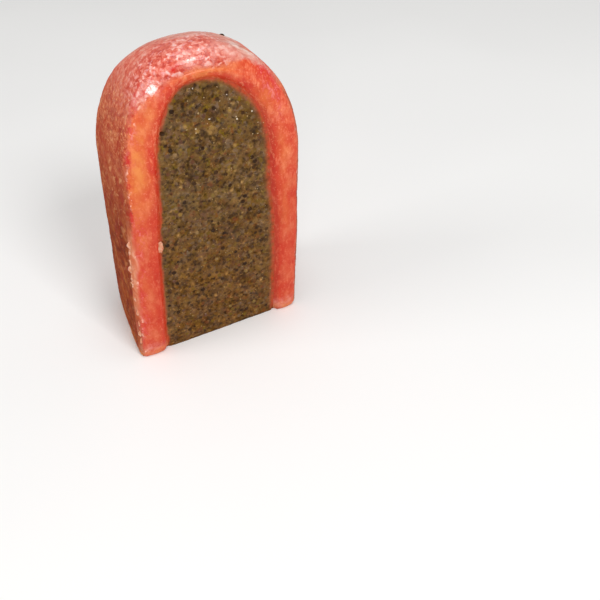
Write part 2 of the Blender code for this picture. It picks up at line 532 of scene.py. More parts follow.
# the foot's edge is rounded in a little, where the knife came out
tuck = 0.0013 * (1 - smooth(0.0, 0.0045, HEIGHT_AT)) ** 2 * (1 - CUT) * (1 - pocket)
level_normal = P_NORMAL.copy()
level_normal[:, 2] = 0
level_normal /= np.maximum(np.linalg.norm(level_normal, axis=1, keepdims=True), 1e-9)
outer = np.abs(P_NORMAL[:, 2]) < 0.999
P2 = P2 - level_normal * (tuck * outer)[:, None]
# a flat wet spot on the dome's left shoulder, facing the front light
spot, facing = on_skin(tree, 151, 90)
away = P - spot
along_spot = away @ (RIGHT * 0.80 + UPWARD * 0.60)
reach = np.sqrt((away**2).sum(axis=1) - 0.55 * along_spot**2) + 0.0007 * soft_noise(P, 0.0022, 47)
above = (P2 - spot) @ facing
P2 -= facing * ((above + 0.00050) * smooth(0.0054, 0.0022, reach))[:, None]
on_cut = P[:, 2] < 1e-6
P2[on_cut, 2] = 0.0
P2[:, 2] = np.maximum(P2[:, 2], 0.0)


gold = patches(
    [
        (139, 142, 16, 5, 0.8),
        (137, 165, 22, 5.5, 1.0),
        (134, 185, 16, 6, 0.95),
        (136, 205, 16, 5, 0.6),
        (146, 112, 12, 6, 0.6),
        (205, 70, 5, 18, 0.75),
        (190, 75, 5, 8, 0.45),
        (268, 97, 9, 7, 0.5),
        (283, 150, 18, 4, 0.35),
        (285, 200, 22, 4, 0.3),
        (141, 240, 14, 4, 0.35),
        (146, 290, 20, 4, 0.2),
    ]
)
# pale patches: painted highlight round the wet spots on the shoulder and crown, and at the feet, where the surface
# catches the lights
pale = patches(
    [
        (151, 90, 5, 6, 0.95),
        (141, 98, 7, 4, 0.6),
        (158, 84, 4, 5, 0.6),
        (189, 60, 4, 5, 0.75),
        (213, 50, 4, 6, 0.75),
        (209, 62, 2.5, 5, 0.75),
        (232, 52, 4, 4, 0.6),
        (150, 350, 4.5, 7, 0.55),
        (160, 347, 3.5, 6, 0.35),
        (278, 303, 4.5, 7, 0.6),
        (288, 300, 4, 5, 0.4),
    ]
)
spots = patches([(173, 70, 1.5, 1.8, 1.0), (176, 67, 1.2, 1.4, 0.8), (138, 86, 2.2, 1.2, 0.9), (135, 94, 2.4, 1.2, 0.8)])
violet = patches(
    [
        (266, 70, 5, 7, 0.9),
        (272, 82, 7, 5, 1.0),
        (277, 94, 7, 4, 0.8),
        (280, 108, 8, 3, 0.5),
        (141, 232, 9, 4, 0.6),
        (140, 252, 9, 3.5, 0.5),
        (141, 272, 8, 3.5, 0.5),
        (141, 292, 9, 3.5, 0.5),
        (142, 312, 8, 4, 0.7),
        (143, 330, 8, 4, 0.7),
        (133, 105, 9, 3, 0.6),
        (130, 132, 10, 3, 0.7),
        (128, 160, 8, 3, 0.5),
    ]
)
leftness = smooth(0.30, 0.85, np.abs(P_NORMAL[:, 0])) * (1 - CUT)
crown = smooth(0.25, 0.75, P_NORMAL[:, 2]) * smooth(0.120, 0.160, HEIGHT_AT)

# how far across the raised edge each point lies, 0 at the pepper, 1 at the fold
from_pepper = np.where(INSET > -0.5, RIM[COLUMN] - INSET, 0.03)
red = RIMNESS * (1 - smooth(0.0045, 0.0115, from_pepper + 0.0024 * layered(P, 0.012, 51, 2)))
# coarse flecks where the raised edge rounds over into the dome
top_edge = -MIDDLE[1] + FRONT_ROUND[COLUMN]
coarse = np.where(
    INSET > -0.5, 1.0, smooth(0.022, 0.0, P[:, 1] - top_edge + 0.005 * layered(P, 0.012, 59, 2))
) * (geo["row"] > 2)
coarse *= (1 - RIMNESS) * (CUT < 0.5) * smooth(0.30, 0.75, HIGH) * (1 - smooth(0.10, 0.50, -LEFTWARD))
# a broken line of red and pale bits along the left fold
line = smooth(0.45, 0.85, LEFTWARD) * np.exp(-(((INSET - 0.0030) / 0.0013) ** 2)) * (INSET > -0.5)
band = smooth(0.6, 0.95, LEFTWARD) * smooth(0.0056, 0.0020, INSET + 0.0016 * layered(P, 0.006, 63, 2)) * (INSET > -0.5)
band *= smooth(0.128, 0.095, HEIGHT_AT) * (0.35 + 0.65 * smooth(0.030, 0.060, HEIGHT_AT))
tan = smooth(0.46, 1.05, SLOPE + 0.14 * layered(P, 0.008, 53, 2)) * RIMNESS
grey = patches(
    [
        (236, 45, 9, 8, 1.0),
        (247, 53, 8, 7, 1.0),
        (257, 62, 8, 5, 0.7),
        (205, 38, 6, 30, 0.7),
        (180, 42, 6, 22, 0.5),
        (225, 36, 6, 16, 0.7),
    ]
)

meat = mesh_object(
    "meat_skin",
    P2,
    faces,
    {
        "rim": RIMNESS,
        "cut": CUT,
        "gold": gold,
        "pale": pale,
        "side": leftness,
        "crown": crown,
        "red": red,
        "tan": tan,
        "low": 1 - smooth(0.085, 0.195, HEIGHT_AT),
        "foot": 1 - smooth(0.002, 0.010, HEIGHT_AT + 0.002 * layered(P, 0.006, 57, 2)),
        "coarse": coarse,
        "line": line,
        "band": band,
        "grey": grey,
        "spots": spots,
        "violet": violet,
        "high": smooth(0.138, 0.176, HEIGHT_AT),
    },
)
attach(meat, "root")
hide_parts("meat_body")

skin_tree = BVHTree.FromPolygons(
    [tuple(v.co) for v in meat.data.vertices],
    [tuple(p.vertices) for p in meat.data.polygons],
)

# ---- the pepper panel -------------------------------------------------------
PANEL = loop(RIM + 0.0, 0.0) - MIDDLE
FILM = loop(RIM - 0.0021, 0.0) - MIDDLE


def base_depth(x, z):
    """Depth of the jelly's front behind the raised edge's crest."""
    return RIM_RISE - PEPPER_CROWN


def edge_distance(points, outline):
    """Each point's distance to the outline's segments, both as x, z."""
    best = np.full(len(points), 1e9)
    a, b = outline[:-1], outline[1:]
    for p, q in zip(a[::2], b[1::2] if len(b) % 2 == 0 else b[::2]):
        pq = q - p
        t = np.clip(((points - p) @ pq) / max(pq @ pq, 1e-12), 0, 1)
        d = np.linalg.norm(points - (p + t[:, None] * pq), axis=1)
        best = np.minimum(best, d)
    return best


# the corns' places: packed like eggs in a tray, but shaken
rng = np.random.default_rng(7)
outline = (loop(RIM - 0.0012, 0.0) - MIDDLE)[:, [0, 2]]
lo2, hi2 = outline.min(axis=0), outline.max(axis=0)
seeds = []
for row, z in enumerate(np.arange(lo2[1] + 0.0024, hi2[1], CORN_PITCH * 0.866)):
    for x in np.arange(lo2[0] + (row % 2) * CORN_PITCH / 2, hi2[0], CORN_PITCH):
        seeds.append((x, z))
seeds = np.array(seeds) + rng.uniform(-1, 1, (len(seeds), 2)) * 0.0013
for _ in range(12):  # neighbours push each other apart
    gap = seeds[:, None, :] - seeds[None, :, :]
    apart = np.linalg.norm(gap, axis=2) + np.eye(len(seeds))
    push = np.clip(CORN_PITCH * 0.86 - apart, 0, None) / apart * 0.4
    np.fill_diagonal(push, 0)
    seeds = seeds + (gap * push[:, :, None]).sum(axis=1)
seeds = seeds[inside(seeds, outline)]
apart = np.linalg.norm(seeds[:, None] - seeds[None], axis=2) + np.eye(len(seeds))
sizes = np.minimum(rng.uniform(0.0038, 0.0050, len(seeds)), apart.min(axis=1) * 1.01)
room = edge_distance(seeds, outline)
keep = (room > sizes / 2 * 0.62 + 0.0024 * smooth(-0.005, 0.035, seeds[:, 0])) & (seeds[:, 1] > sizes / 2 + 0.0001) & (sizes > 0.003)
corns = np.column_stack([seeds[keep], sizes[keep]])

front_y = -MIDDLE[1] + RIM_RISE - PEPPER_CROWN


def on_panel(u, v):
    d = sight(u, v)
    t = (front_y - CAMERA[1]) / d[1]
    p = CAMERA + d * t
    return p[[0, 2]]


light_spots = [
    (182, 189), (231, 191), (244, 183), (183, 214), (178, 233), (259, 251),
    (224, 275), (259, 281), (237, 288), (218, 295), (235, 321), (186, 130),
    (196, 129), (211, 128), (236, 144), (230, 104), (228, 108), (212, 134),
]
dark_spots = [(220, 111), (206, 112), (187, 116), (238, 118), (210, 119), (205, 108)]
kind = np.where(rng.uniform(size=len(corns)) < 0.16, 0, 1)
tone = rng.uniform(size=len(corns))
for u, v in light_spots:
    kind[np.argmin(((corns[:, :2] - on_panel(u, v)) ** 2).sum(axis=1))] = 2
for u, v in dark_spots:
    kind[np.argmin(((corns[:, :2] - on_panel(u, v)) ** 2).sum(axis=1))] = 0
show = MOUND + rng.uniform(-0.00010, 0.00042, len(corns))
show[kind == 1] = MOUND + rng.uniform(-0.00030, 0.00036, (kind == 1).sum())
show[kind == 2] = MOUND + rng.uniform(-0.00012, 0.00016, (kind == 2).sum())

# painted shade: dark pits between neighbouring corns, where the gaps between them fall in shadow
made = delaunay_2d_cdt([Vector(c) for c in corns[:, :2]], [], [], 0, 1e-9, False)
shaded_pits = []
for face in made[2]:
    a, b, c = (np.array(made[0][i]) for i in face)
    sides = [np.linalg.norm(a - b), np.linalg.norm(b - c), np.linalg.norm(c - a)]
    if max(sides) < 0.0095 and rng.uniform() < 0.50:
        middle = (a + b + c) / 3 + rng.normal(size=2) * 0.0003
        shaded_pits.append((middle[0], middle[1], rng.uniform(0.00065, 0.00125), rng.uniform(0.45, 1.0)))

# the jelly: a slab in the pocket, its front draped over the corns, its rim
# reaching a little onto the meat's slope
ring2 = FILM[:, [0, 2]]
steps = int((ring2[-1, 0] - ring2[0, 0]) / 0.0009)
along = np.linspace(0, 1, steps + 1)[1:-1]
bottom2 = ring2[-1] * (1 - along[:, None]) + ring2[0] * along[:, None]
ring2 = np.concatenate([ring2, bottom2])
flat, triangles = fill(ring2, GEL_STEP, GEL_STEP * 0.6)
gel_xz = flat
gel3 = np.stack([gel_xz[:, 0], np.zeros(len(gel_xz)), gel_xz[:, 1]], 1)
to_edge = edge_distance(gel_xz, FILM[:, [0, 2]])
y = np.full(len(gel_xz), RIM_RISE - PEPPER_CROWN)
y = y - 0.00030 * layered(gel3, 0.017, 61, 2) - 0.00017 * layered(gel3, 0.0032, 67, 2)
swell = np.zeros(len(gel_xz))
tint = np.full(len(gel_xz), 0.5)
nearest = np.full(len(gel_xz), 9.0)
below = np.full((3, len(gel_xz)), 9.0)
for (cx, cz, size), up_by, k, own in zip(corns, show, kind, tone):
    near = np.where(
        (np.abs(gel_xz[:, 0] - cx) < 0.0042) & (np.abs(gel_xz[:, 1] - cz) < 0.0042)
    )[0]
    d = np.hypot(gel_xz[near, 0] - cx, gel_xz[near, 1] - cz) / (size / 2)
    # a soft mound with a moat of thicker jelly between neighbours
    mound = MOUND * np.exp(-((d / 0.85) ** 2)) - 0.00012 * np.exp(-(((d - 1.15) / 0.25) ** 2))
    swell[near] += mound
    closer = d < nearest[near]
    nearest[near] = np.where(closer, d, nearest[near])
    tint[near] = np.where(closer, own, tint[near])
    # depth of the corn's own surface behind the jelly's plain front
    surface = size / 2 * (1 - np.sqrt(np.clip(1 - d**2, 0, 1))) - up_by + np.where(d < 1, 0, 9.0)
    below[k, near] = np.minimum(below[k, near], surface)
shaded_pit = np.zeros(len(gel_xz))
ragged = 1 + 0.45 * soft_noise(gel3, 0.0016, 73)
for px, pz, radius, strength in shaded_pits:
    near = np.where((np.abs(gel_xz[:, 0] - px) < 0.004) & (np.abs(gel_xz[:, 1] - pz) < 0.004))[0]
    d = np.hypot(gel_xz[near, 0] - px, gel_xz[near, 1] - pz) / radius
    shaded_pit[near] = np.maximum(shaded_pit[near], strength * np.exp(-((d / ragged[near]) ** 2)))
swell -= 0.00028 * shaded_pit
y = y - swell
cover = np.clip(below + swell, 0, 9.0)  # jelly over the corn
seen = np.exp(-cover / 0.00042)
# the rim of the film dips under the slope's surface
slope_share = np.clip((0.0021 - to_edge) / RIM_RAMP, 0, 1)
slope_y = RIM_RISE * 0.5 * (1 + np.cos(np.pi * slope_share))
over = smooth(0.0021 + 0.0016, 0.0002, to_edge)
for i in np.where(to_edge < 0.0046)[0]:
    hit = skin_tree.ray_cast(Vector((gel_xz[i, 0], -0.06, max(gel_xz[i, 1], 0.0008))), Vector((0, 1, 0)))
    if hit[0] is not None and abs(hit[0].y + MIDDLE[1] - slope_y[i]) < 0.0024:
        slope_y[i] = hit[0].y + MIDDLE[1]
y = y * (1 - over) + (slope_y - 0.00012 * smooth(0.0003, 0.0016, to_edge)) * over
y = np.where(to_edge < 0.00020, slope_y + 0.00014, y)
gel_front = np.stack([gel_xz[:, 0], y - MIDDLE[1], gel_xz[:, 1]], 1)
count = len(ring2)
# behind the front: in from the film's rim to the pocket, then back
inner_loop = loop(RIM + GAP, 0.0) - MIDDLE


def stretched_bottom(a, b):
    return b * (1 - along[:, None]) + a * along[:, None]


def full_ring(points):
    return np.concatenate([points, stretched_bottom(points[0], points[-1])])


step1 = inner_loop.copy()
step1[:, 1] = RIM_RISE + 0.0008 - MIDDLE[1]
step2 = inner_loop.copy()
step2[:, 1] = RIM_RISE + PEPPER_THICK - GAP - MIDDLE[1]
ring_a, ring_b = full_ring(step1), full_ring(step2)
gel_points = np.concatenate([gel_front, ring_a, ring_b])
gel_faces = [list(t) for t in triangles]
n0, n1 = len(gel_front), len(gel_front) + count
for i in range(count):
    j = (i + 1) % count
    gel_faces += [[i, j, n0 + j], [i, n0 + j, n0 + i]]
    gel_faces += [[n0 + i, n0 + j, n1 + j], [n0 + i, n1 + j, n1 + i]]
flat_b, triangles_b = fill(ring_b[:, [0, 2]], 0.02, 0.006)
extra = flat_b[count:]
names = np.concatenate([n1 + np.arange(count), len(gel_points) + np.arange(len(extra))])
gel_points = np.concatenate(
    [gel_points, np.stack([extra[:, 0], np.full(len(extra), ring_b[0, 1]), extra[:, 1]], 1)]
)
gel_faces += [[int(names[i]) for i in t] for t in triangles_b]
total = len(gel_points)
pad = lambda a, v: np.concatenate([a, np.full(total - len(a), v)])
wide = 0.0036 + 0.0042 * smooth(-0.01, 0.045, gel_xz[:, 0])
film_edge = pad(1 - smooth(0.0004, wide, to_edge + 0.0010 * layered(gel3, 0.007, 71, 2)), 0.0)
film_edge[:n0] *= smooth(0.0, 0.006, gel_xz[:, 1] + 0.004)
gel = mesh_object(
    "pepper_jelly",
    gel_points,
    gel_faces,
    {
        "edge": film_edge,
        "tint": pad(tint, 0.5),
        "near": pad(np.clip(nearest, 0, 2), 2.0),
        "shaded_pit": pad(shaded_pit, 0.0),
        "seen_dark": pad(seen[0], 0.0),
        "seen_olive": pad(seen[1], 0.0),
        "seen_tan": pad(seen[2], 0.0),
    },
)
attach(gel, "root")
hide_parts("pepper_layer")


# ---- peppercorns ------------------------------------------------------------
def ball():
    bm = bmesh.new()
    bmesh.ops.create_icosphere(bm, subdivisions=3, radius=1.0)
    points = np.array([tuple(v.co) for v in bm.verts])
    tris = np.array([[v.index for v in f.verts] for f in bm.faces])
    bm.free()
    return points, tris


BALL, BALL_TRIS = ball()


def peppercorn(centre, size, seed):
    """One wrinkled corn."""
    r = np.random.default_rng(seed)
    axis = r.normal(size=3)
    axis /= np.linalg.norm(axis)
    spin = np.array(Matrix.Rotation(r.uniform(0, 6.28), 3, Vector(axis)))
    unit = BALL @ spin.T
    ridges = 1 - np.abs(soft_noise(BALL + seed * 3.7, 0.62, 83)) * 2
    fine = soft_noise(BALL + seed * 1.3, 0.31, 89)
    radius = 1 + 0.055 * (ridges - 0.4) + 0.018 * fine
    shape = unit * radius[:, None] * r.uniform(0.94, 1.05, 3)
    return centre + shape * size / 2


def corn_piece(name, chosen):
    points, tris, tints = [], [], []
    for n, i in enumerate(chosen):
        x, z, size = corns[i]
        y = front_y + size / 2 - show[i]
        points.append(peppercorn(np.array([x, y, z]), size, int(1000 + i)))
        tris.append(BALL_TRIS + n * len(BALL))
        tints.append(np.full(len(BALL), tone[i]))
    return mesh_object(
        name,
        np.concatenate(points),
        np.concatenate(tris).tolist(),
        {"tint": np.concatenate(tints)},
    )


corn_objects = []
for k, name in enumerate(("peppercorns_dark", "peppercorns_olive", "peppercorns_tan")):
    piece = corn_piece(name, np.where(kind == k)[0])
    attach(piece, "root")
    corn_objects.append(piece)


# ---- crushed pepper and painted glints: small pale grains on the jelly, the whitest standing in for highlights ---
bm = bmesh.new()
bmesh.ops.create_icosphere(bm, subdivisions=2, radius=1.0)
GRAIN = np.array([tuple(v.co) for v in bm.verts])
GRAIN_TRIS = np.array([[v.index for v in f.verts] for f in bm.faces])
bm.free()
gel_tree = BVHTree.FromPolygons([tuple(q) for q in gel_points], gel_faces)
# grains with a tone near 1 are painted glints, near-white specks where the wet jelly shines; the duller ones and the
# scattered rest are pale crushed pepper
grain_and_glint_at = [
    (on_panel(u, v), size, shade)
    for u, v, size, shade in [
        (192.5, 88.5, 1.0, 1.0), (189, 88.5, 0.8, 0.97), (217, 87, 0.9, 0.95), (203.7, 97.5, 0.9, 0.95),
        (226.5, 94.4, 1.5, 1.0), (229.7, 99, 1.0, 0.95), (220, 101, 0.7, 0.8), (209.4, 119, 1.3, 1.0),
        (252, 111, 1.3, 0.98), (236, 116.5, 1.0, 0.96), (237, 119, 1.2, 0.98), (195.6, 129, 1.3, 0.9),
        (196, 133, 0.9, 0.8), (257.5, 133, 0.8, 0.8), (252.5, 133.7, 0.8, 0.75), (223, 128.7, 0.7, 0.8),
        (215.6, 110, 0.7, 0.8), (238, 102, 1.1, 0.7), (198, 113, 1.2, 0.6), (187, 130, 1.4, 0.5),
        (247.5, 116, 1.2, 0.4), (231, 103, 1.6, 0.4), (229, 108, 1.5, 0.35),
    ]
]
low2, high2 = outline.min(axis=0), outline.max(axis=0)
scatter = rng.uniform(0, 1, (190, 2)) * (high2 - low2) + low2
scatter = scatter[inside(scatter, outline)]
grain_and_glint_at += [(q, rng.uniform(0.40, 0.90), rng.uniform(0.0, 0.75)) for q in scatter]
points, tris, tints = [], [], []
for n, (q, size, shade) in enumerate(grain_and_glint_at):
    hit = gel_tree.ray_cast(Vector((q[0], -0.2, q[1])), Vector((0, 1, 0)))[0]
    if hit is None:
        continue
    r = np.random.default_rng(5000 + n)
    shape = GRAIN * (1 + 0.35 * soft_noise(GRAIN + n * 2.3, 0.9, 97))[:, None] * r.uniform(0.55, 1.3, 3)
    points.append(np.array(hit) + shape * size * 0.0005 + np.array([0, 0.00008, 0]))
    tris.append(GRAIN_TRIS + len(GRAIN) * (len(points) - 1))
    tints.append(np.full(len(GRAIN), shade))
grains = mesh_object(
    "pepper_grains_and_glints", np.concatenate(points), np.concatenate(tris).tolist(), {"tint": np.concatenate(tints)}
)
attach(grains, "root")


# ---- one loose corn on the crown --------------------------------------------
top_point = None
for v in np.arange(30.0, 44.0, 0.25):
    top_point, top_normal = on_skin(skin_tree, 222.0, v)
    if top_point is not None:
        break
centre = top_point - np.array(top_normal) * 0.0014
loose = mesh_object(
    "peppercorn_crown",
    peppercorn(centre, 0.0044, 77),
    BALL_TRIS.tolist(),
    {"tint": np.full(len(BALL), 0.1)},
)
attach(loose, "root")


# ---- torn casing along the left fold -----------------------------------------
def sheet(top, thickness_along):
    """A thin closed sheet from a grid of points, its underside moved back."""
    cols, rows, _ = top.shape
    under = top - thickness_along * 0.00026
    points = np.concatenate([top.reshape(-1, 3), under.reshape(-1, 3)])
    m = cols * rows
    tris = []
    for i in range(cols - 1):
        for j in range(rows - 1):
            a, b = i * rows + j, (i + 1) * rows + j
            c, d = b + 1, a + 1
            tris += [[a, b, c], [a, c, d], [m + a, m + c, m + b], [m + a, m + d, m + c]]
    border = (
        [i * rows for i in range(cols)]
        + [(cols - 1) * rows + j for j in range(1, rows)]
        + [i * rows + rows - 1 for i in range(cols - 2, -1, -1)]
        + [j for j in range(rows - 2, 0, -1)]
    )
    for a, b in zip(border, border[1:] + border[:1]):
        tris += [[a, m + a, m + b], [a, m + b, b]]
    return points, tris


SHREDS = []


def curl(u, v, tall, wide, lift, seed):
    """A small torn flap that starts there on the skin and leans out to the side."""
    hit, normal = on_skin(skin_tree, u, v)
    if hit is None:
        return
    out = np.array(normal)
    across = np.cross(out, np.array([0.0, 0.0, 1.0]))
    across *= -1 if across[0] > 0 else 1
    across /= np.linalg.norm(across)
    grid = np.zeros((9, 6, 3))
    for i, a in enumerate(np.linspace(-1, 1, 9)):
        reach = wide * math.sqrt(max(1 - a * a, 0.02)) * (1 + 0.30 * math.sin(3.1 * a + seed))
        for j, t in enumerate(np.linspace(0, 1, 6)):
            grid[i, j] = (
                hit
                + np.array([0.0, 0.0, tall / 2 * a])
                + across * (reach * t * (1 - 0.25 * t) - 0.0004)
                + out * (0.00012 + lift * t**1.6 * (1 + 0.4 * math.sin(2.3 * a + 2 * seed)))
            )
    SHREDS.append(sheet(grid, out))


for n, (u, v, tall, wide, lift) in enumerate(
    [
        (130.1, 245, 0.0058, 0.00112, 0.00174),
        (130.2, 252, 0.0042, 0.00092, 0.00093),
        (130.7, 262, 0.0048, 0.00086, 0.00081),
        (131.2, 269, 0.0058, 0.00119, 0.00161),
        (132.2, 277, 0.0042, 0.00086, 0.00093),
        (133.2, 284, 0.0052, 0.00099, 0.00130),
        (135.6, 299, 0.0044, 0.00079, 0.00087),
        (138.1, 312, 0.0046, 0.00099, 0.00124),
        (139.2, 323, 0.0050, 0.00079, 0.00105),
        (140.4, 333, 0.0058, 0.00112, 0.00161),
        (141.4, 340, 0.0048, 0.00086, 0.00124),
    ]
):
    curl(u, v, tall, wide, lift, n + 0.7)

# one scrap hangs on the film at the panel's left edge
hit, normal = on_skin(skin_tree, 159, 242)
span = np.linspace(0, 1, 15)
top = np.zeros((15, 6, 3))
for i, share in enumerate(span):
    reach = 0.0050 * math.sin(math.pi * (0.14 + 0.76 * share)) * (0.88 + 0.16 * math.sin(9 * share + 1))
    for j, t in enumerate(np.linspace(-0.5, 0.5, 6)):
        top[i, j] = hit + np.array(
            [t * reach + 0.0004 * math.sin(5 * share), -0.0004 - 0.0004 * math.cos(5 * t + 4 * share), -0.0088 * share]
        )
SHREDS.append(sheet(top, np.array([0.0, -1.0, 0.0])))

points, tris, offset = [], [], 0
for p, t in SHREDS:
    points.append(p)
    tris += [[a + offset for a in f] for f in t]
    offset += len(p)
flaps = mesh_object("casing_shreds", np.concatenate(points), tris)
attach(flaps, "root")


# ---- materials ---------------------------------------------------------------
class Look:
    """A node material under construction."""

    def __init__(self, name):
        self.mat = bpy.data.materials.new(name)
        self.mat.use_nodes = True
        self.tree = self.mat.node_tree
        self.shader = self.tree.nodes["Principled BSDF"]
        self.place = self.node("ShaderNodeTexCoord").outputs["Object"]

    def node(self, kind, **values):
        made = self.tree.nodes.new(kind)
        for key, value in values.items():
            setattr(made, key, value)
        return made

    def link(self, a, b):
        self.tree.links.new(a, b)

    def put(self, socket, value):
        if isinstance(value, bpy.types.NodeSocket):
            self.link(value, socket)
        else:
            socket.default_value = value

    def mask(self, name):
        return self.node("ShaderNodeAttribute", attribute_name=name).outputs["Fac"]

    def math(self, operation, a, b=0.0, clamp=False):
        n = self.node("ShaderNodeMath", operation=operation, use_clamp=clamp)
        self.put(n.inputs[0], a)
        self.put(n.inputs[1], b)
        return n.outputs[0]

    def mix(self, share, a, b, kind="MIX"):
        n = self.node("ShaderNodeMix", data_type="RGBA", blend_type=kind)
        self.put(n.inputs["Factor"], share)
        self.put(n.inputs[6], a)
        self.put(n.inputs[7], b)
        return n.outputs[2]

    def ramp(self, value, *stops):
        n = self.node("ShaderNodeValToRGB")
        self.put(n.inputs["Fac"], value)
        while len(n.color_ramp.elements) < len(stops):
            n.color_ramp.elements.new(0.5)
        for element, (at, tone) in zip(n.color_ramp.elements, stops):
            element.position = at
            element.color = tone if isinstance(tone, tuple) else (tone, tone, tone, 1)
        return n.outputs["Color"]

    def span(self, value, low, high, to_low=0.0, to_high=1.0):
        n = self.node("ShaderNodeMapRange", interpolation_type="SMOOTHSTEP")
        self.put(n.inputs["Value"], value)
        for key, number in (("From Min", low), ("From Max", high), ("To Min", to_low), ("To Max", to_high)):
            n.inputs[key].default_value = number
        return n.outputs["Result"]

    def scaled(self, factors, turn=(0, 0, 0)):
        n = self.node("ShaderNodeMapping")
        self.link(self.place, n.inputs["Vector"])
        n.inputs["Scale"].default_value = factors
        n.inputs["Rotation"].default_value = turn
        return n.outputs["Vector"]

    def slanted(self, angle, factors):
        """The places, turned about X by that angle and then scaled."""
        n = self.node("ShaderNodeMapping", vector_type="TEXTURE")
        self.link(self.place, n.inputs["Vector"])
        n.inputs["Rotation"].default_value = (angle, 0, 0)
        n.inputs["Scale"].default_value = [1 / f for f in factors]
        return n.outputs["Vector"]

    def noise(self, size, detail=3.0, rough=0.5, swirl=0.0, vector=None):
        """Noise with features about that many metres across."""
        n = self.node("ShaderNodeTexNoise")
        self.link(vector or self.place, n.inputs["Vector"])
        n.inputs["Scale"].default_value = 1 / size
        n.inputs["Detail"].default_value = detail
        n.inputs["Roughness"].default_value = rough
        n.inputs["Distortion"].default_value = swirl
        return n.outputs["Fac"]

    def shaken(self, size, amount, vector=None):
        """The places, pushed about by noise, so that cells lose their plain shape."""
        n = self.node("ShaderNodeTexNoise")
        self.link(vector or self.place, n.inputs["Vector"])
        n.inputs["Scale"].default_value = 1 / size
        n.inputs["Detail"].default_value = 2.0
        push = self.node("ShaderNodeVectorMath", operation="MULTIPLY_ADD")
        self.link(n.outputs["Color"], push.inputs[0])
        push.inputs[1].default_value = (amount, amount, amount)
        self.link(vector or self.place, push.inputs[2])
        return push.outputs["Vector"]

    def grain(self, size, vector):
        """A number from 0 to 1 for each cell, soft between cells."""
        n = self.node("ShaderNodeTexVoronoi", feature="SMOOTH_F1")
        self.link(vector, n.inputs["Vector"])
        n.inputs["Scale"].default_value = 1 / size
        n.inputs["Smoothness"].default_value = 0.55
        split = self.node("ShaderNodeSeparateColor")
        self.link(n.outputs["Color"], split.inputs[0])
        return split.outputs[0]

    def cells(self, size, output="Distance", vector=None, feature="F1", randomness=1.0):
        n = self.node("ShaderNodeTexVoronoi", feature=feature)
        self.link(vector or self.place, n.inputs["Vector"])
        n.inputs["Scale"].default_value = 1 / size
        n.inputs["Randomness"].default_value = randomness
        return n.outputs[output]

    def bump(self, height, depth, strength=1.0, under=None):
        n = self.node("ShaderNodeBump")
        self.put(n.inputs["Height"], height)
        n.inputs["Distance"].default_value = depth
        n.inputs["Strength"].default_value = strength
        if under is not None:
            self.link(under, n.inputs["Normal"])
        return n.outputs["Normal"]

    def set(self, **values):
        for key, value in values.items():
            self.put(self.shader.inputs[key.replace("_", " ")], value)


